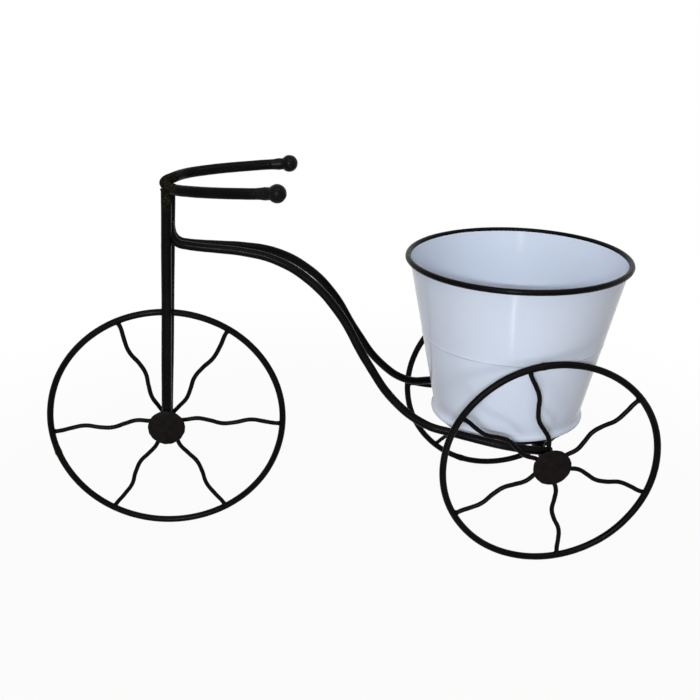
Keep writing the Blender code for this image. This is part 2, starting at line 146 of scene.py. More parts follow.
def smooth_line(stations, steps):
    """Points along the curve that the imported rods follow."""
    curve = bpy.data.curves.new("line", "CURVE")
    curve.dimensions = "3D"
    curve.resolution_u = steps
    spline = curve.splines.new("BEZIER")
    spline.bezier_points.add(len(stations) - 1)
    for point, station in zip(spline.bezier_points, stations):
        point.co = station
        point.handle_left_type = "AUTO"
        point.handle_right_type = "AUTO"
    guide = bpy.data.objects.new("line", curve)
    bpy.context.scene.collection.objects.link(guide)
    view = bpy.context.evaluated_depsgraph_get()
    made = guide.evaluated_get(view).to_mesh()
    points = [vertex.co.copy() for vertex in made.vertices]
    bpy.data.objects.remove(guide)
    bpy.data.curves.remove(curve)
    return points


def resample(points, spacing):
    """The same line with evenly spaced points."""
    lengths = [0.0]
    for a, b in zip(points, points[1:]):
        lengths.append(lengths[-1] + (b - a).length)
    count = max(2, round(lengths[-1] / spacing))
    result, index = [], 0
    for step in range(count + 1):
        goal = lengths[-1] * step / count
        while index < len(points) - 2 and lengths[index + 1] < goal:
            index += 1
        run = lengths[index + 1] - lengths[index]
        share = (goal - lengths[index]) / run if run > 0 else 0
        result.append(points[index].lerp(points[index + 1], min(1, share)))
    return result


def add_skin(shape, rings, closed):
    """Faces from each ring of corners to the next, and over the ends of an open row."""
    pairs = list(zip(rings, rings[1:]))
    if closed:
        pairs.append((rings[-1], rings[0]))
    for one, two in pairs:
        for step in range(len(one)):
            following = (step + 1) % len(one)
            shape.faces.new((one[step], one[following], two[following], two[step]))
    if not closed:
        shape.faces.new(rings[0][::-1])
        shape.faces.new(rings[-1])


def add_tube(shape, points, radius, sides, uneven, seed, closed=False, swell=None):
    """Rod along a line of points, slightly uneven as hand-bent and painted rod is."""
    last = len(points) - 1
    tangents = []
    for index in range(len(points)):
        before = points[index - 1] if closed or index > 0 else points[0]
        after = points[(index + 1) % len(points)] if closed or index < last else points[-1]
        tangents.append((after - before).normalized())
    normal = tangents[0].orthogonal().normalized()
    rings = []

    def add_ring(centre, tangent, size):
        side = tangent.cross(normal).normalized()
        corners = []
        for angle in turns(sides):
            out = normal * math.cos(angle) + side * math.sin(angle)
            place = centre + out * radius
            grow = 1 + uneven * (wobble(place, 140, seed) + 0.5 * wobble(place, 420, seed + 1))
            corners.append(shape.verts.new(centre + out * size * grow))
        rings.append(corners)

    for index, (centre, tangent) in enumerate(zip(points, tangents)):
        normal = (normal - tangent * normal.dot(tangent)).normalized()
        size = radius + (swell(index / last) if swell else 0)
        if not closed and index == 0:
            add_ring(centre, tangent, radius - ROD_CHAMFER)
            add_ring(centre + tangent * ROD_CHAMFER, tangent, size)
        elif not closed and index == last:
            add_ring(centre - tangent * ROD_CHAMFER, tangent, size)
            add_ring(centre, tangent, radius - ROD_CHAMFER)
        else:
            add_ring(centre, tangent, size)
    add_skin(shape, rings, closed)


def add_rod(node, body, slot, points, radius, sides, uneven, seed, closed=False, swell=None):
    """A painted rod that stands for one node."""
    shape = bmesh.new()
    add_tube(shape, points, radius, sides, uneven, seed, closed, swell)
    add_piece(node + "_painted", shape, body, slot, node)


def mirrored(lower):
    """A closed outline from the half of it below height 0."""
    return lower + [(radius, -height) for radius, height in reversed(lower)]


def add_turned(shape, outline, segments, matrix, uneven=0.0, scale=1.0, seed=0.0, close=False):
    """Outline of (radius, height) points turned about Z, then placed by the matrix."""
    columns = []
    for angle in turns(segments):
        column = []
        for radius, height in outline:
            if radius <= 0:
                column.append(None)
                continue
            place = Vector((radius * math.cos(angle), radius * math.sin(angle), height))
            reach = radius + uneven * wobble(place, scale, seed)
            column.append(shape.verts.new(matrix @ Vector((
                reach * math.cos(angle), reach * math.sin(angle), height))))
        columns.append(column)
    poles = {
        index: shape.verts.new(matrix @ Vector((0, 0, height)))
        for index, (radius, height) in enumerate(outline) if radius <= 0}
    rows = range(len(outline) if close else len(outline) - 1)
    for one, two in zip(columns, columns[1:] + columns[:1]):
        for row in rows:
            after = (row + 1) % len(outline)
            corners = [
                one[row] or poles[row], two[row] or poles[row],
                two[after] or poles[after], one[after] or poles[after]]
            unique = list(dict.fromkeys(corners))
            if len(unique) > 2:
                shape.faces.new(unique)


def add_blob(shape, centre, radius, seed, squash, turn):
    """Lump of weld metal under paint."""
    made = bmesh.ops.create_icosphere(shape, subdivisions=3, radius=1)
    for vertex in made["verts"]:
        way = vertex.co.normalized()
        grow = 1 + 0.22 * (wobble(way, 1.7, seed) + 0.45 * wobble(way, 4.5, seed + 2))
        vertex.co = Vector(centre) + turn @ (way * Vector(squash) * radius * grow)


def add_weld_ring(shape, centre, axis, radius, size, seed, ripples):
    """Ring of weld beads round a rod where it meets another piece."""
    axis = Vector(axis).normalized()
    across = axis.orthogonal().normalized()
    other = axis.cross(across)
    line = []
    for angle in turns(4 * ripples):
        jitter = 0.12 * wobble((angle, radius * 900, 0), 1.9, seed)
        out = across * math.cos(angle) + other * math.sin(angle)
        line.append(Vector(centre) + out * radius * (1 + jitter * size / radius)
                    + axis * size * 0.25 * wobble((angle, 1, 2), 1.5, seed + 5))
    rings = []
    for index, point in enumerate(line):
        tangent = (line[(index + 1) % len(line)] - line[index - 1]).normalized()
        side = tangent.cross(axis).normalized()
        pulse = 0.84 + 0.16 * abs(math.sin(math.pi * ripples * index / len(line)))
        grow = size * pulse * (1 + 0.2 * wobble(point, 500, seed + 3))
        rings.append([
            shape.verts.new(point + (side * math.cos(a) + axis * math.sin(a)) * grow)
            for a in turns(8)])
    add_skin(shape, rings, closed=True)


# Materials
class Recipe:
    """A Principled material whose inputs come from noise in the object's own coordinates."""

    def __init__(self, name):
        self.material = bpy.data.materials.new(name)
        self.material.use_nodes = True
        self.tree = self.material.node_tree
        self.shader = self.tree.nodes["Principled BSDF"]
        self.where = self.tree.nodes.new("ShaderNodeTexCoord").outputs["Object"]

    def link(self, a, b):
        self.tree.links.new(a, b)

    def noise(self, scale, detail=3.0, rough=0.55):
        node = self.tree.nodes.new("ShaderNodeTexNoise")
        node.inputs["Scale"].default_value = scale
        node.inputs["Detail"].default_value = detail
        node.inputs["Roughness"].default_value = rough
        self.link(self.where, node.inputs["Vector"])
        return node.outputs["Fac"]

    def ramp(self, factor, *stops):
        """A colour, or a grey level, for each of a few places along a factor."""
        node = self.tree.nodes.new("ShaderNodeValToRGB")
        while len(node.color_ramp.elements) < len(stops):
            node.color_ramp.elements.new(0.5)
        for element, (place, colour) in zip(node.color_ramp.elements, stops):
            element.position = place
            rgb = colour if hasattr(colour, "__len__") else (colour,) * 3
            element.color = (*rgb, 1.0)
        self.link(factor, node.inputs["Fac"])
        return node.outputs["Color"]

    def span(self, factor, low, high, start=0.3, end=0.7):
        """From low to high as the factor goes from start to end."""
        node = self.tree.nodes.new("ShaderNodeMapRange")
        node.inputs["From Min"].default_value = start
        node.inputs["From Max"].default_value = end
        node.inputs["To Min"].default_value = low
        node.inputs["To Max"].default_value = high
        self.link(factor, node.inputs["Value"])
        return node.outputs["Result"]

    def times(self, one, two):
        node = self.tree.nodes.new("ShaderNodeMath")
        node.operation = "MULTIPLY"
        self.link(one, node.inputs[0])
        self.link(two, node.inputs[1])
        return node.outputs[0]

    def mix(self, factor, one, two):
        node = self.tree.nodes.new("ShaderNodeMix")
        node.data_type = "RGBA"
        sockets = node.inputs[0], node.inputs[6], node.inputs[7]
        for source, socket in zip((factor, one, two), sockets):
            if isinstance(source, bpy.types.NodeSocket):
                self.link(source, socket)
            else:
                socket.default_value = (*source, 1.0)
        return node.outputs[2]

    def height(self):
        """Height above the floor of the rest pose."""
        split = self.tree.nodes.new("ShaderNodeSeparateXYZ")
        self.link(self.where, split.inputs["Vector"])
        return split.outputs["Z"]

    def nearness(self, point, full, none):
        """1 within one distance of a point, 0 beyond another."""
        away = self.tree.nodes.new("ShaderNodeVectorMath")
        away.operation = "DISTANCE"
        self.link(self.where, away.inputs[0])
        away.inputs[1].default_value = point
        return self.span(away.outputs["Value"], 1.0, 0.0, full, none)

    def bump(self, *layers):
        """Bumps on bumps, each from a factor, a height and a strength."""
        below = None
        for factor, distance, strength in layers:
            node = self.tree.nodes.new("ShaderNodeBump")
            node.inputs["Distance"].default_value = distance
            node.inputs["Strength"].default_value = strength
            self.link(factor, node.inputs["Height"])
            if below:
                self.link(below, node.inputs["Normal"])
            below = node.outputs["Normal"]
        self.link(below, self.shader.inputs["Normal"])

    def set(self, **values):
        for name, value in values.items():
            socket = self.shader.inputs[name.replace("_", " ")]
            if isinstance(value, bpy.types.NodeSocket):
                self.link(value, socket)
            else:
                socket.default_value = value


BURNT_REACH = 40.0 * MM
BAR_NOSE = Vector((
    front_hub.x + FORK_SETBACK - 1.0 * MM, -12 * MM, HANDLEBAR_HEIGHT + 14 * MM))
BURNT_STOPS = (
    (0.38, (0.0040, 0.0038, 0.0027)), (0.56, (0.0150, 0.0145, 0.0090)),
    (0.72, (0.034, 0.036, 0.024)))
BLACK, WHITE = (0, 0, 0), (1, 1, 1)
DUST_HEIGHT, DUST_COLOUR = 22 * MM, (0.42, 0.42, 0.43)
# Width and colour of the painted shade line along the bucket's crease
CREASE_SHADE_WIDTH, CREASE_SHADE_COLOUR = 0.7 * MM, (0.27, 0.27, 0.28)
SPECK_COLOUR = (0.38, 0.38, 0.40)


def black_paint(name, dark, brown, rough, grain, gloss, burnt=None):
    """Black paint over rod: uneven, brown where it is thin, and matt where a weld burnt it."""
    recipe = Recipe(name)
    thinness = recipe.noise(46, detail=4.0, rough=0.6)
    base = recipe.ramp(thinness, (0.42, dark), (0.66, brown))
    dust = recipe.ramp(recipe.noise(900, detail=2.0, rough=0.7), (0.6, 0.0), (0.78, 0.35))
    colour = recipe.mix(dust, base, tuple(channel * 2.6 + 0.004 for channel in dark))
    roughness = recipe.span(recipe.noise(150), rough - 0.08, rough + 0.1)
    level = gloss
    if burnt:
        near = recipe.nearness(burnt, BURNT_REACH * 0.7, BURNT_REACH)
        mottle = recipe.ramp(recipe.noise(420, detail=4.0, rough=0.65), *BURNT_STOPS)
        colour = recipe.mix(near, colour, mottle)
        level = recipe.span(near, gloss, 0.0, start=0.0, end=0.8)
    recipe.set(Base_Color=colour, Metallic=0.0, Specular_IOR_Level=level, Roughness=roughness)
    recipe.bump((recipe.noise(320, detail=2.0), 0.25 * MM, grain),
                (recipe.noise(1500, detail=2.0), 0.06 * MM, grain))
    return recipe.material


def cap_look():
    """Rough pressed cap: brown-black, mottled, with small pits."""
    recipe = Recipe("cap_paint_look")
    base = recipe.ramp(
        recipe.noise(170, detail=5.0, rough=0.65), (0.36, (0.0024, 0.0023, 0.0028)),
        (0.6, (0.0068, 0.0042, 0.0033)), (0.78, (0.015, 0.0088, 0.0068)))
    roughness = recipe.span(recipe.noise(260), 0.42, 0.68)
    recipe.set(Base_Color=base, Specular_IOR_Level=0.05, Roughness=roughness)
    recipe.bump((recipe.noise(230, detail=4.0, rough=0.6), 0.5 * MM, 0.5),
                (recipe.noise(900, detail=2.0), 0.15 * MM, 0.4))
    return recipe.material


def bucket_look():
    """Cool white enamel: faint clouding, orange peel, painted shade in the crease, and dust near
    the foot.
    """
    recipe = Recipe("bucket_enamel_look")
    cloud = recipe.noise(9, detail=2.0, rough=0.5)
    base = recipe.ramp(cloud, (0.3, (0.612, 0.660, 0.762)), (0.75, (0.624, 0.668, 0.764)))
    foot = recipe.span(recipe.height(), 1.0, 0.0, bucket_foot, bucket_foot + DUST_HEIGHT)
    blotch = recipe.noise(120, detail=4.0, rough=0.6)
    dirt = recipe.mix(recipe.span(blotch, 0.0, 0.2, start=0.45, end=0.8), BLACK, WHITE)
    soiled = recipe.mix(recipe.mix(foot, BLACK, dirt), base, DUST_COLOUR)
    # Painted shade: a thin, patchy grey line along the crease stands in for the crease's shade
    below = recipe.span(recipe.height(), 0.0, 1.0, crease_level - CREASE_SHADE_WIDTH, crease_level)
    above = recipe.span(recipe.height(), 1.0, 0.0, crease_level, crease_level + CREASE_SHADE_WIDTH)
    gaps = recipe.noise(55, detail=3.0, rough=0.6)
    patchy = recipe.span(gaps, 0.2, 0.75, start=0.35, end=0.6)
    line = recipe.times(recipe.times(below, above), patchy)
    crease_shaded = recipe.mix(line, soiled, CREASE_SHADE_COLOUR)
    specks = recipe.ramp(
        recipe.noise(2300, detail=1.0, rough=0.5), (0.74, 0.0), (0.82, 0.18))
    colour = recipe.mix(specks, crease_shaded, SPECK_COLOUR)
    roughness = recipe.span(recipe.noise(30, detail=2.0), 0.13, 0.18)
    recipe.set(Base_Color=colour, Specular_IOR_Level=0.09, Roughness=roughness)
    recipe.bump((recipe.noise(700, detail=2.0), 0.04 * MM, 0.25))
    return recipe.material


LOOKS = {
    "frame_paint": black_paint(
        "frame_paint_look", dark=(0.0012, 0.0011, 0.0016), brown=(0.0034, 0.0026, 0.0020),
        rough=0.28, grain=0.12, gloss=0.04, burnt=BAR_NOSE),
    "wheel_paint": black_paint(
        "wheel_paint_look", dark=(0.0012, 0.0011, 0.0014), brown=(0.0036, 0.0027, 0.0022),
        rough=0.31, grain=0.15, gloss=0.04),
    "ball_paint": black_paint(
        "ball_paint_look", dark=(0.0010, 0.0009, 0.0014), brown=(0.0022, 0.0020, 0.0026),
        rough=0.34, grain=0.12, gloss=0.07),
    "cap_paint": cap_look(),
    "bucket_enamel": bucket_look(),
    "bead_paint": black_paint(
        "bead_paint_look", dark=(0.0006, 0.0006, 0.0009), brown=(0.0014, 0.0012, 0.0016),
        rough=0.26, grain=0.1, gloss=0.05),
}

# Wheels
RIM_SWAY, RIM_LEAN, RIM_ROOM = 0.28 * MM, 0.3 * MM, 0.1 * MM
JOINT_SWELL, JOINT_REACH = 0.35 * MM, 3.2 * MM
SPOKE_LEAN, SPOKE_SWAY = 0.35 * MM, 0.3 * MM
HUB_SINK, RIM_SINK = 1.0 * MM, 1.3 * MM


def wheel_point(facts, radius, angle, y=0.0):
    return facts["centre"] + Vector((radius * math.cos(angle), y, radius * math.sin(angle)))


def add_rim_look(wheel, facts, seed):
    rod, rim = facts["rod"], facts["radius"]
    points = []
    for angle in turns(240):
        round_x, round_z = math.cos(angle) * 2, math.sin(angle) * 2
        sway = RIM_SWAY * wobble((round_x, round_z, 0), 1.0, seed)
        lean = RIM_LEAN * wobble((round_x, round_z, 5), 1.0, seed + 2)
        points.append(wheel_point(facts, rim + sway - RIM_ROOM, angle, lean))

    def joint_swell(share):
        """The rod is thicker where its two ends are welded together."""
        apart = math.tau * share - math.radians(facts["weld_angle"])
        apart = (apart + math.pi) % math.tau - math.pi
        return JOINT_SWELL * math.exp(-(apart * rim / JOINT_REACH) ** 2)

    add_rod(wheel + "_rim", wheel, "wheel_paint", points, rod - 0.08 * MM, sides=20,
            uneven=0.018, seed=seed, closed=True, swell=joint_swell)


def spoke_line(facts, along, across, seed):
    """The waved line of a spoke, with both ends sunk a little into the hub and the rim."""
    start = facts["hub_radius"] + FIT
    length = facts["radius"] - facts["rod"] - FIT - start
    stations = [
        facts["centre"] + along * (start + length * a) + across * SPOKE_WAVE * w
        for a, w in zip(SPOKE_LENGTH_SHARES, SPOKE_WAVE_SHARES)]
    line = resample(smooth_line(stations, 8), 1.6 * MM)
    line[0] = line[0] - along * HUB_SINK
    line[-1] = line[-1] + along * RIM_SINK
    return [
        p + Vector((0, SPOKE_LEAN * wobble(p, 38, seed), 0))
        + across * SPOKE_SWAY * wobble(p, 70, seed + 0.5)
        for p in line]


def add_spoke_looks(wheel, facts, seed):
    """The spokes, and one piece for all the wheel's weld beads."""
    rim, rod, weld_at = facts["radius"], facts["rod"], math.radians(facts["weld_angle"])
    welds = bmesh.new()
    for number, (degrees, way) in enumerate(zip(facts["angles"], facts["sides"])):
        angle = math.radians(degrees)
        along = Vector((math.cos(angle), 0, math.sin(angle)))
        across = Vector((-math.sin(angle), 0, math.cos(angle))) * way
        line = spoke_line(facts, along, across, seed + number)
        add_rod(f"{wheel}_spoke_{number + 1}", wheel, "wheel_paint", line, SPOKE, sides=14,
                uneven=0.05, seed=seed + number * 1.3)
        rim_end = facts["centre"] + along * (rim - rod + 0.1 * MM)
        hub_end = facts["centre"] + along * (facts["hub_radius"] + 0.2 * MM)
        add_blob(welds, rim_end, 2.45 * MM, seed + number, squash=(0.62, 1.0, 1.15),
                 turn=along.to_track_quat("X", "Y").to_matrix())
        add_weld_ring(welds, hub_end, along, SPOKE + 0.5 * MM, size=0.95 * MM,
                      seed=seed + number, ripples=7)
    along_rim = Vector((-math.sin(weld_at), 0, math.cos(weld_at)))
    add_weld_ring(welds, wheel_point(facts, rim, weld_at), along_rim, rod + 0.05 * MM,
                  size=0.5 * MM, seed=seed + 9, ripples=12)
    add_piece(wheel + "_welds", welds, wheel, "wheel_paint")


def add_hub_look(wheel, facts, seed):
    half, outer, bore = facts["hub_width"] / 2, facts["hub_radius"], facts["bore"]
    outline = mirrored([
        (bore, -half + 0.4 * MM), (bore + 0.4 * MM, -half), (outer - 0.7 * MM, -half),
        (outer - 0.2 * MM, -half + 0.2 * MM), (outer, -half + 0.7 * MM),
        (outer - 0.05 * MM, -half * 0.3)])
    shape = bmesh.new()
    matrix = Matrix.Translation(facts["centre"]) @ Matrix.Rotation(math.pi / 2, 4, "X")
    add_turned(
        shape, outline, 72, matrix, uneven=0.05 * MM, scale=160.0, seed=seed, close=True)
    add_piece(wheel + "_hub_painted", shape, wheel, "wheel_paint", wheel + "_hub")


for number, (wheel, facts) in enumerate(WHEELS.items()):
    wheel_seed = 3.0 + number * 11.0
    add_rim_look(wheel, facts, wheel_seed)
    add_spoke_looks(wheel, facts, wheel_seed)
    add_hub_look(wheel, facts, wheel_seed)

# Axles and caps
CAP_OUTLINE = (
    (0, 0), (0.9, 0), (0.975, 0.1), (1, 0.3), (0.985, 0.52), (0.93, 0.72), (0.82, 0.84),
    (0.66, 0.92), (0.45, 0.97), (0.2, 0.995), (0, 1))
CAP_RAGGED, CAP_CHIPS, CAP_PITS = 0.42 * MM, 0.2 * MM, 0.22 * MM
CAP_EDGE_ROOM, CAP_FACE_ROOM = 0.3 * MM, 0.2 * MM


def add_axle_look(axle, seed):
    low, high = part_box(axle)
    centre = middle(axle)
    start, end = Vector((centre.x, low.y, centre.z)), Vector((centre.x, high.y, centre.z))
    line = [start.lerp(end, step / 60) for step in range(61)]
    add_rod(axle, "frame", "frame_paint", line, (high.z - low.z) / 2, sides=24, uneven=0.008,
            seed=seed)


def add_cap_look(cap, way, seed):
    """A domed disc with a ragged edge and a pitted face, flat against the axle's end."""
    low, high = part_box(cap)
    centre = middle(cap)
    radius = (high.z - low.z) / 2
    thick = high.y - low.y
    foot = Vector((centre.x, low.y if way > 0 else high.y, centre.z))
    outline = [(radius * out, thick * up) for out, up in CAP_OUTLINE]
    shape = bmesh.new()
    matrix = Matrix.Translation(foot) @ Matrix.Rotation(-way * math.pi / 2, 4, "X")
    add_turned(shape, outline, 96, matrix)
    bmesh.ops.subdivide_edges(
        shape, edges=[e for e in shape.edges if e.calc_length() > 1.8 * MM], cuts=2,
        use_grid_fill=True)
    for vertex in shape.verts:
        away = vertex.co - foot
        out = Vector((away.x, 0, away.z))
        edge = min(1.0, out.length / radius) ** 4
        ragged = (CAP_RAGGED * wobble(vertex.co, 260, seed)
                  + CAP_CHIPS * wobble(vertex.co, 700, seed))
        if out.length > JOIN_DISTANCE and abs(away.y) > 0.05 * MM:
            vertex.co += out.normalized() * (ragged * edge - CAP_EDGE_ROOM * edge)
        if abs(away.y) > 0.2 * MM:
            pit = CAP_PITS * wobble(vertex.co, 330, seed + 4) - CAP_FACE_ROOM
            vertex.co.y += way * pit * min(1.0, abs(away.y) / thick)
    add_piece(cap + "_painted", shape, "frame", "cap_paint", cap, sharp=70.0)


for number, axle in enumerate(("front_axle", "rear_axle")):
    add_axle_look(axle, 51.0 + number)
    for side, way in SIDES.items():
        add_cap_look(f"{axle}_{side}_cap", way, 61.0 + number * 2 + way)

# Fork
EYE_HALF_WIDTH, EYE_RADIUS, EYE_BORE = 4.9 * MM, 7.0 * MM, 4.3 * MM
EYE_EDGE, EYE_CORNER = 0.6 * MM, 0.15 * MM
LEG_FOOT_RISE = 5.5 * MM


def fork_line(y, height):
    """A point on a fork leg, or between the two, where they lean back and twist."""
    share = (height - front_hub.z) / (fork_top - front_hub.z)
    twist = y * math.sin(HANDLEBAR_TURN)
    return Vector((front_hub.x + (FORK_SETBACK + twist) * share, y, height))


def add_fork_look(side, way, seed):
    y = way * FORK_SPREAD
    foot, head = fork_line(y, front_hub.z + LEG_FOOT_RISE), fork_line(y, fork_top)
    line = resample([foot, head], 2.4 * MM)
    line = [
        p + Vector((0.35 * MM * wobble(p, 14, seed), 0.15 * MM * wobble(p, 14, seed + 1), 0))
        for p in line]
    shape = bmesh.new()
    add_tube(shape, line, HEAVY_ROD - ROD_INSET, sides=24, uneven=0.014, seed=seed)
    half, eye = EYE_HALF_WIDTH, EYE_RADIUS
    outline = mirrored([
        (EYE_BORE, -half), (eye - EYE_EDGE, -half), (eye - EYE_CORNER, -half + EYE_CORNER),
        (eye, -half + EYE_EDGE)])
    place = fork_line(y, front_hub.z)
    matrix = Matrix.Translation(place) @ Matrix.Rotation(math.pi / 2, 4, "X")
    add_turned(
        shape, outline, 64, matrix, uneven=0.06 * MM, scale=180.0, seed=seed, close=True)
    up = (head - foot).normalized()
    add_weld_ring(shape, place + up * 6.6 * MM, up, HEAVY_ROD - 0.2 * MM, size=1.0 * MM,
                  seed=seed, ripples=11)
    leg = f"fork_leg_{side}"
    add_piece(leg + "_painted", shape, "frame", "frame_paint", leg)


for side, way in SIDES.items():
    add_fork_look(side, way, 71.0 + way)

# Handlebar
BAR_REACH, BAR_WIDTH, BAR_RISE, BAR_OVERHANG = 103.6 * MM, 62.5 * MM, 4.0 * MM, 2.1 * MM
BAR_REACH_SHARES = (0.0, 0.029, 0.135, 0.29, 0.532, 0.78, 0.846)
BAR_WIDTH_SHARES = (0.0, 0.216, 0.555, 0.726, 0.875, 0.972, 0.985)
BALL_RADIUS, BALL_NECK, BALL_FLARE = 7.9 * MM, 8.5 * MM, 1.1 * MM
BALL_START = math.radians(42.0)
BALL_ROOM, BALL_UNEVEN = 0.12 * MM, 0.16 * MM
SOCKET_DEPTH = 1.2 * MM
bar_place = (Matrix.Translation((front_hub.x + FORK_SETBACK, 0, HANDLEBAR_HEIGHT))
             @ Matrix.Rotation(-HANDLEBAR_TURN, 4, "Z"))
arm = [Vector((BAR_REACH * a - BAR_OVERHANG, BAR_WIDTH * w, BAR_RISE * a))
       for a, w in zip(BAR_REACH_SHARES, BAR_WIDTH_SHARES)]


def add_handlebar_look():
    stations = [Vector((p.x, -p.y, p.z)) for p in arm[:0:-1]] + arm
    line = [bar_place @ p for p in resample(smooth_line(stations, 10), 2.2 * MM)]
    line = [p + wobble3(p, 24, 81.0) * 0.3 * MM for p in line]
    add_rod("handlebar", "frame", "frame_paint", line, HEAVY_ROD - ROD_INSET, sides=28,
            uneven=0.018, seed=82.0)


def add_ball_look(side, way, seed):
    """A ball with a flared neck, turned in one outline and set on the end of an arm."""
    mirror = Vector((1, way, 1))
    end, before = arm[-1] * mirror, arm[-2] * mirror
    direction = (end - before).normalized()
    centre = BALL_NECK + BALL_RADIUS
    outline = [
        (0, -SOCKET_DEPTH), (HEAVY_ROD - 0.25 * MM, -SOCKET_DEPTH),
        (HEAVY_ROD + 0.02 * MM, -0.3 * MM)]
    for share in (0.12, 0.24, 0.36, 0.48, 0.6, 0.72):
        outline.append((HEAVY_ROD + BALL_FLARE * share ** 1.6, BALL_NECK * share))
    for step in range(28):
        angle = BALL_START + (math.pi - BALL_START) * step / 28
        outline.append((BALL_RADIUS * math.sin(angle), centre - BALL_RADIUS * math.cos(angle)))
    outline.append((0, centre + BALL_RADIUS))
    shape = bmesh.new()
    matrix = (bar_place @ Matrix.Translation(end + direction * FIT)
              @ direction.to_track_quat("Z", "Y").to_matrix().to_4x4())
    add_turned(shape, outline, 64, matrix)
    ball_middle = matrix @ Vector((0, 0, centre))
    for vertex in shape.verts:
        away = vertex.co - ball_middle
        if away.length < BALL_RADIUS * 1.05:
            vertex.co -= away.normalized() * (
                BALL_ROOM + BALL_UNEVEN * wobble(vertex.co, 240, seed))
    ball = f"handlebar_ball_{side}"
    add_piece(ball + "_painted", shape, "frame", "ball_paint", ball, sharp=80.0)


add_handlebar_look()
for side, way in SIDES.items():
    add_ball_look(side, way, 85.0 + way)

# Backbone and seat ring
BACKBONE_HEIGHT, BEND, TAIL = 291.5 * MM, 14.0 * MM, 8.0 * MM
SETBACK, HEAD_SPREAD, OVERRUN = 3.4 * MM, 4.3 * MM, 3.0 * MM
RUN_SHARES = (
    0.0, 0.029, 0.09, 0.152, 0.244, 0.337, 0.414, 0.49,
    0.568, 0.661, 0.737, 0.799, 0.851, 0.898, 0.944, 1.0)
FALL_SHARES = (
    1.0, 0.992, 0.981, 0.968, 0.926, 0.824, 0.669, 0.423,
    0.216, 0.085, 0.055, 0.041, 0.028, 0.016, 0.006, 0.0)
SPREAD_SHARES = (
    0.0, 0.012, 0.034, 0.064, 0.129, 0.206, 0.303, 0.43,
    0.523, 0.600, 0.705, 0.819, 0.900, 0.944, 0.974, 1.0)


def backbone_stations(way):
    half = way * HEAD_SPREAD
    bend_x = fork_line(0, BACKBONE_HEIGHT).x + SETBACK + BEND
    bend_z = BACKBONE_HEIGHT + BEND
    stations = [Vector((bend_x - BEND, half, bend_z + TAIL))]
    for step in range(3):
        angle = math.pi + math.pi / 2 * step / 3
        stations.append(Vector((
            bend_x + BEND * math.cos(angle), half, bend_z + BEND * math.sin(angle))))
    tail = Vector((
        rear_hub.x + OVERRUN,
        half_track - WHEELS["rear_right_wheel"]["hub_width"] / 2 - FIT - ROD,
        rear_top + FIT + ROD))
    for run, fall, spread in zip(RUN_SHARES, FALL_SHARES, SPREAD_SHARES):
        stations.append(Vector((
            bend_x + (tail.x - bend_x) * run, half + way * (tail.y - HEAD_SPREAD) * spread,
            tail.z + (BACKBONE_HEIGHT - tail.z) * fall)))
    return stations


def add_backbone_look(side, way, seed):
    line = resample(smooth_line(backbone_stations(way), 8), 2.4 * MM)
    line = [p + wobble3(p, 17, seed) * 0.3 * MM for p in line]
    add_rod(f"backbone_rod_{side}", "frame", "frame_paint", line, ROD - ROD_INSET, sides=22,
            uneven=0.018, seed=seed)
    return line


def add_seat_ring_look():
    size = extent("bucket_seat_ring")
    rod = size.z / 2
    radius = size.x / 2 - rod
    points = []
    for angle in turns(180):
        sway = 0.25 * MM * wobble((math.cos(angle) * 2, math.sin(angle) * 2, 1), 1.0, 95.0)
        points.append(middle("bucket_seat_ring") + Vector((
            (radius + sway) * math.cos(angle), (radius + sway) * math.sin(angle), 0)))
    add_rod("bucket_seat_ring", "frame", "frame_paint", points, rod - ROD_INSET, sides=20,
            uneven=0.014, seed=96.0, closed=True)


backbone_lines = {
    side: add_backbone_look(side, way, 91.0 + way) for side, way in SIDES.items()}
add_seat_ring_look()


# Welds on the frame
def add_frame_welds():
    shape = bmesh.new()
    above_axle = rear_top + 0.6 * MM
    for side, way in SIDES.items():
        top = fork_line(way * FORK_SPREAD, fork_top)
        up = (top - fork_line(way * FORK_SPREAD, 0.2)).normalized()
        add_weld_ring(shape, top - up * 0.2 * MM, up, HEAVY_ROD - 0.5 * MM, size=1.0 * MM,
                      seed=101.0 + way, ripples=10)
        line = backbone_lines[side]
        for step in range(7):
            height = line[0].z - 1 * MM - step * 2.7 * MM
            leg = fork_line(way * (FORK_SPREAD + HEAD_SPREAD) / 2, height)
            between = leg + Vector((SETBACK * 0.62, way * 0.9 * MM, 0))
            add_blob(shape, between, 2.2 * MM, 105.0 + step + way * 0.3,
                     squash=(0.8, 1.0, 1.1), turn=Matrix.Identity(3))
        rod_end = Vector((rear_hub.x, line[-1].y, above_axle))
        add_weld_ring(shape, rod_end, (0, 0, 1), 3.9 * MM, size=1.35 * MM, seed=111.0 + way,
                      ripples=9)
        ring_radius = extent("bucket_seat_ring").y / 2 - ROD
        ring_y = way * math.sqrt(ring_radius ** 2 - (bucket_x - rear_hub.x) ** 2)
        on_ring = Vector((rear_hub.x, ring_y, above_axle))
        add_weld_ring(shape, on_ring, (0, 0, 1), 3.6 * MM, size=1.3 * MM, seed=113.0 + way,
                      ripples=9)
        for axle in ("front_axle", "rear_axle"):
            low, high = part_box(f"{axle}_{side}_cap")
            axle_end = middle(axle)
            axle_end.y = (low.y if way > 0 else high.y) - way * 0.2 * MM
            add_weld_ring(shape, axle_end, (0, 1, 0), extent(axle).z / 2 + 0.1 * MM,
                          size=0.9 * MM, seed=115.0 + way, ripples=12)
    add_piece("frame_welds", shape, "frame", "frame_paint")


add_frame_welds()

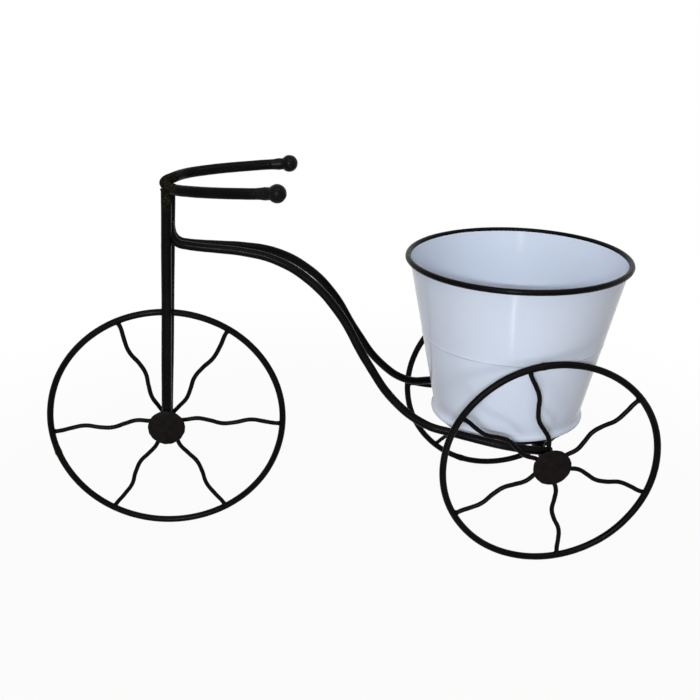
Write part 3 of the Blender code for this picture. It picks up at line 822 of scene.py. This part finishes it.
# Bucket
SHEET = 1.2 * MM
BASE_RADIUS, TOP_RADIUS = 70.2 * MM, 99.8 * MM
FOOT_HEIGHT, FOOT_FLARE = 5.6 * MM, 2.6 * MM
FOOT_OUTLINE = (
    (0.0, 0.35), (0.05, 0.75), (0.14, 0.95), (0.28, 1.0), (0.44, 0.98), (0.6, 0.84),
    (0.76, 0.56), (0.9, 0.22), (1.0, 0.04))
CREASE_REACH = 1.6 * MM
CREASE_OUTLINE_MM = (
    (-0.8, 0.0), (-0.5, 0.02), (-0.25, 0.30), (0.0, 0.38), (0.5, 0.32), (1.0, 0.18), (1.6, 0.04))
DENT, DENT_SCALE, DENT_RADIUS, CALM_EDGE = 0.10 * MM, 20, 85 * MM, 18 * MM
WALL_ROOM = 0.05 * MM
BEAD_ROD = 2.7 * MM
wall_top = bucket_high.z - bucket_foot
crease = crease_level - bucket_foot


def wall_radius(height):
    share = (height - FOOT_HEIGHT) / (wall_top - FOOT_HEIGHT)
    return BASE_RADIUS + (TOP_RADIUS - BASE_RADIUS) * share


def dent(point, height):
    """Shallow unevenness of thin pressed sheet, none at the foot and the rim."""
    calm = min(1.0, height / CALM_EDGE, (wall_top - height) / CALM_EDGE)
    return max(0.0, calm) * DENT * wobble(point, DENT_SCALE, 121.0)


def add_wall_look():
    """The wall's outer side from the flared foot to the rim, and its inner side back down."""
    outline = [
        (BASE_RADIUS + FOOT_FLARE * out, FOOT_HEIGHT * up) for up, out in FOOT_OUTLINE]
    for step in range(1, 17):
        height = FOOT_HEIGHT + (crease - CREASE_REACH - FOOT_HEIGHT) * step / 16
        outline.append((wall_radius(height), height))
    for rise, out in CREASE_OUTLINE_MM:
        height = crease + rise * MM
        outline.append((wall_radius(height) + out * MM, height))
    for step in range(1, 25):
        height = crease + CREASE_REACH + (wall_top - crease - CREASE_REACH) * step / 24
        outline.append((wall_radius(height), height))
    for step in range(41):
        height = wall_top + (1.0 * MM - wall_top) * step / 40
        near = math.exp(-((height - crease) / (0.8 * MM)) ** 2)
        outline.append((wall_radius(height) - SHEET + 0.35 * MM * near, height))
    outline.append((BASE_RADIUS - SHEET + 0.2 * MM, 0.0))
    shape = bmesh.new()
    place = Vector((bucket_x, 0, bucket_foot))
    add_turned(shape, outline, 256, Matrix.Translation(place), close=True)
    for vertex in shape.verts:
        local = vertex.co - place
        out = Vector((local.x, local.y, 0)).normalized()
        on_tube = Vector((out.x * DENT_RADIUS, out.y * DENT_RADIUS, local.z))
        vertex.co += out * (dent(on_tube, local.z) - WALL_ROOM)
    add_piece(
        "bucket_wall_enamelled", shape, "bucket", "bucket_enamel", "bucket_wall", sharp=60.0)


def add_floor_look():
    """A pressed floor: a flat disc with a rounded edge and an upright lip against the wall."""
    low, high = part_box("bucket_floor")
    base = low.z - bucket_foot
    top = high.z - bucket_foot
    ledge = base + SHEET

    def fit(height):
        return wall_radius(height) - SHEET - FIT

    flat = fit(base)
    lip = fit(base + 2.6 * MM) - SHEET
    outline = [
        (0, base), (flat * 0.55, base), (flat * 0.6, base), (flat - 1.6 * MM, base),
        (flat - 0.7 * MM, base + 0.2 * MM), (fit(base + 0.6 * MM) - 0.2 * MM, base + 0.7 * MM),
        (fit(base + 1.4 * MM), base + 1.4 * MM), (fit(top), top - 0.3 * MM),
        (fit(top) - 0.3 * MM, top), (fit(top) - SHEET + 0.3 * MM, top),
        (fit(top) - SHEET, top - 0.3 * MM), (lip, base + 2.6 * MM),
        (lip - 0.5 * MM, ledge + 0.5 * MM), (lip - 1.5 * MM, ledge), (flat * 0.6, ledge),
        (flat * 0.55, ledge), (0, ledge)]
    shape = bmesh.new()
    add_turned(shape, outline, 256, Matrix.Translation((bucket_x, 0, bucket_foot)))
    add_piece(
        "bucket_floor_enamelled", shape, "bucket", "bucket_enamel", "bucket_floor", sharp=60.0)


def add_bead_look():
    low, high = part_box("bucket_rim_bead")
    radius = (high.x - low.x) / 2 - BEAD_ROD
    height = high.z - BEAD_ROD
    points = []
    for angle in turns(256):
        turn = (math.cos(angle) * 2, math.sin(angle) * 2, 3)
        reach = radius - 0.08 * MM + 0.1 * MM * wobble(turn, 1.0, 131.0)
        points.append(Vector((
            bucket_x + reach * math.cos(angle), reach * math.sin(angle),
            height - 0.06 * MM + 0.06 * MM * wobble(turn, 1.2, 132.0))))
    add_rod("bucket_rim_bead", "bucket", "bead_paint", points, BEAD_ROD - 0.03 * MM, sides=20,
            uneven=0.008, seed=133.0, closed=True)


add_wall_look()
add_floor_look()
add_bead_look()

# Floor, light and camera
FLOOR_REACH = 30.0
FLOOR_COLOUR = (0.34, 0.30, 0.27, 1)
FADE_START, FADE_END, SHADOW_SHARE = 0.25, 0.75, 0.05
SOFT_COLOUR, SOFT_STRENGTH = (1.0, 0.89, 0.78, 1), 0.06

# Place, target, width and height, watts, colour, and whether gloss shows the lamp
LAMPS = {
    "key": (
        (-0.42, -1.85, 1.25), (0.12, 0, 0.2), (0.5, 0.6), 2.5, (0.93, 0.975, 1.0), True),
    "flash": (
        (-0.578, -2.171, 0.945), (0.164, -0.1, 0.273), (0.6, 0.024), 29.0, (0.84, 0.925, 1.0),
        True),
    "top": (
        (0.05, -0.72, 1.9), (0.12, 0, 0.2), (2.2, 0.6), 13.5, (1.0, 0.975, 0.92), True),
    "key_strip": (
        (-0.455, -1.78, 0.56), (0.195, 0.093, 0.27), (0.03, 0.4), 4.0, (1.0, 1.0, 1.0), True),
    "arch_strip": (
        (0.18, -1.485, 0.43), (-0.03, 0, 0.27), (0.022, 0.4), 1.3, (0.86, 0.92, 1.0), True),
    "low_strip": (
        (0.067, -0.33, 0.035), (0.138, -0.086, 0.225), (0.022, 0.09), 0.13, (1.0, 1.0, 1.0),
        True),
    "low_front": (
        (-0.19, -0.40, 0.10), (-0.16, 0, 0.23), (0.03, 0.2), 0.13, (0.93, 0.95, 1.0), True),
    "back_right": (
        (1.35, 1.55, 1.45), (0.12, 0, 0.2), (1.3, 1.3), 22.0, (0.97, 0.985, 1.0), False),
    "back_left": (
        (-1.15, 1.55, 1.45), (0.12, 0, 0.2), (1.3, 1.3), 22.0, (0.97, 0.985, 1.0), False),
}

# The photo's camera, fitted in pixels. From it, the floor under the front hub lies this far to its
# own right, up and back
PHOTO_SIZE, SENSOR = 700, 36
AZIMUTH, ELEVATION, ROLL = -3.57, 22.02, -0.48
FOCAL_PX, CENTRE_PX = 920.82, (300.0, 345.0)
UNDER_HUB_FROM_CAMERA = Vector((-127.81, -180.07, -938.48)) * MM


def white_surround_share(tree):
    """1 for a ray from the camera, or by way of gloss or glass, else 0."""
    path = tree.nodes.new("ShaderNodeLightPath")
    share = path.outputs["Is Camera Ray"]
    for kind in ("Is Glossy Ray", "Is Transmission Ray"):
        either = tree.nodes.new("ShaderNodeMath")
        either.operation = "MAXIMUM"
        tree.links.new(share, either.inputs[0])
        tree.links.new(path.outputs[kind], either.inputs[1])
        share = either.outputs[0]
    return share


def mix_shaders(tree, share, one, two, output):
    mix = tree.nodes.new("ShaderNodeMixShader")
    tree.links.new(share, mix.inputs["Fac"])
    tree.links.new(one, mix.inputs[1])
    tree.links.new(two, mix.inputs[2])
    tree.links.new(mix.outputs["Shader"], tree.nodes[output].inputs["Surface"])


def floor_look():
    """White to the camera, apart from a faint shadow that fades away from the object."""
    material = bpy.data.materials.new("floor_white")
    material.use_nodes = True
    tree = material.node_tree
    shader = tree.nodes["Principled BSDF"]
    shader.inputs["Base Color"].default_value = FLOOR_COLOUR
    shader.inputs["Roughness"].default_value = 0.9
    shader.inputs["Specular IOR Level"].default_value = 0.1
    glow = tree.nodes.new("ShaderNodeEmission")
    glow.inputs["Strength"].default_value = 1.0
    where = tree.nodes.new("ShaderNodeTexCoord")
    away = tree.nodes.new("ShaderNodeVectorMath")
    away.operation = "LENGTH"
    tree.links.new(where.outputs["Object"], away.inputs[0])
    fade = tree.nodes.new("ShaderNodeMapRange")
    fade.interpolation_type = "SMOOTHSTEP"
    fade.inputs["From Min"].default_value = FADE_START
    fade.inputs["From Max"].default_value = FADE_END
    fade.inputs["To Min"].default_value = 1 - SHADOW_SHARE
    fade.inputs["To Max"].default_value = 1.0
    tree.links.new(away.outputs["Value"], fade.inputs["Value"])
    share = tree.nodes.new("ShaderNodeMath")
    share.operation = "MULTIPLY"
    tree.links.new(white_surround_share(tree), share.inputs[0])
    tree.links.new(fade.outputs["Result"], share.inputs[1])
    mix_shaders(
        tree, share.outputs[0], shader.outputs["BSDF"], glow.outputs["Emission"],
        "Material Output")
    return material


def add_stage():
    shape = bmesh.new()
    shape.faces.new([
        shape.verts.new((x * FLOOR_REACH, y * FLOOR_REACH, 0))
        for x, y in ((-1, -1), (1, -1), (1, 1), (-1, 1))])
    mesh = bpy.data.meshes.new("floor")
    shape.to_mesh(mesh)
    shape.free()
    mesh.materials.append(floor_look())
    floor = bpy.data.objects.new("floor", mesh)
    bpy.context.scene.collection.objects.link(floor)


def add_world():
    world = bpy.data.worlds.new("studio")
    bpy.context.scene.world = world
    world.use_nodes = True
    tree = world.node_tree
    soft = tree.nodes["Background"]
    soft.inputs["Color"].default_value = SOFT_COLOUR
    soft.inputs["Strength"].default_value = SOFT_STRENGTH
    white = tree.nodes.new("ShaderNodeBackground")
    white.inputs["Color"].default_value = (1, 1, 1, 1)
    white.inputs["Strength"].default_value = 1.0
    mix_shaders(
        tree, white_surround_share(tree), soft.outputs["Background"],
        white.outputs["Background"], "World Output")


def add_lamp(name, place, target, size, power, colour, shine):
    lamp = bpy.data.lights.new(name, "AREA")
    lamp.shape = "RECTANGLE"
    lamp.size, lamp.size_y = size
    lamp.energy = power
    lamp.color = colour
    holder = bpy.data.objects.new(name, lamp)
    bpy.context.scene.collection.objects.link(holder)
    holder.location = place
    holder.rotation_mode = "QUATERNION"
    holder.rotation_quaternion = (Vector(place) - Vector(target)).to_track_quat("Z", "Y")
    holder.visible_camera = False
    holder.visible_glossy = shine


def add_camera():
    a, e, r = (math.radians(angle) for angle in (AZIMUTH, ELEVATION, ROLL))
    back = Vector((math.sin(a) * math.cos(e), -math.cos(a) * math.cos(e), math.sin(e)))
    level_right = Vector((math.cos(a), math.sin(a), 0))
    level_up = back.cross(level_right)
    right = level_right * math.cos(r) + level_up * math.sin(r)
    up = level_up * math.cos(r) - level_right * math.sin(r)
    turn = Matrix((right, up, back)).transposed()
    lens = bpy.data.cameras.new("camera")
    lens.sensor_width = SENSOR
    lens.lens = FOCAL_PX / PHOTO_SIZE * SENSOR
    lens.shift_x = (PHOTO_SIZE / 2 - CENTRE_PX[0]) / PHOTO_SIZE
    lens.shift_y = (CENTRE_PX[1] - PHOTO_SIZE / 2) / PHOTO_SIZE
    lens.clip_start, lens.clip_end = 0.01, 200
    camera = bpy.data.objects.new("camera", lens)
    bpy.context.scene.collection.objects.link(camera)
    under_hub = Vector((front_hub.x, 0, 0))
    camera.matrix_world = (
        Matrix.Translation(turn @ -UNDER_HUB_FROM_CAMERA + under_hub) @ turn.to_4x4())
    bpy.context.scene.camera = camera


add_stage()
add_world()
for name, lamp in LAMPS.items():
    add_lamp(name, *lamp)
add_camera()
bpy.context.scene.view_settings.view_transform = "Standard"
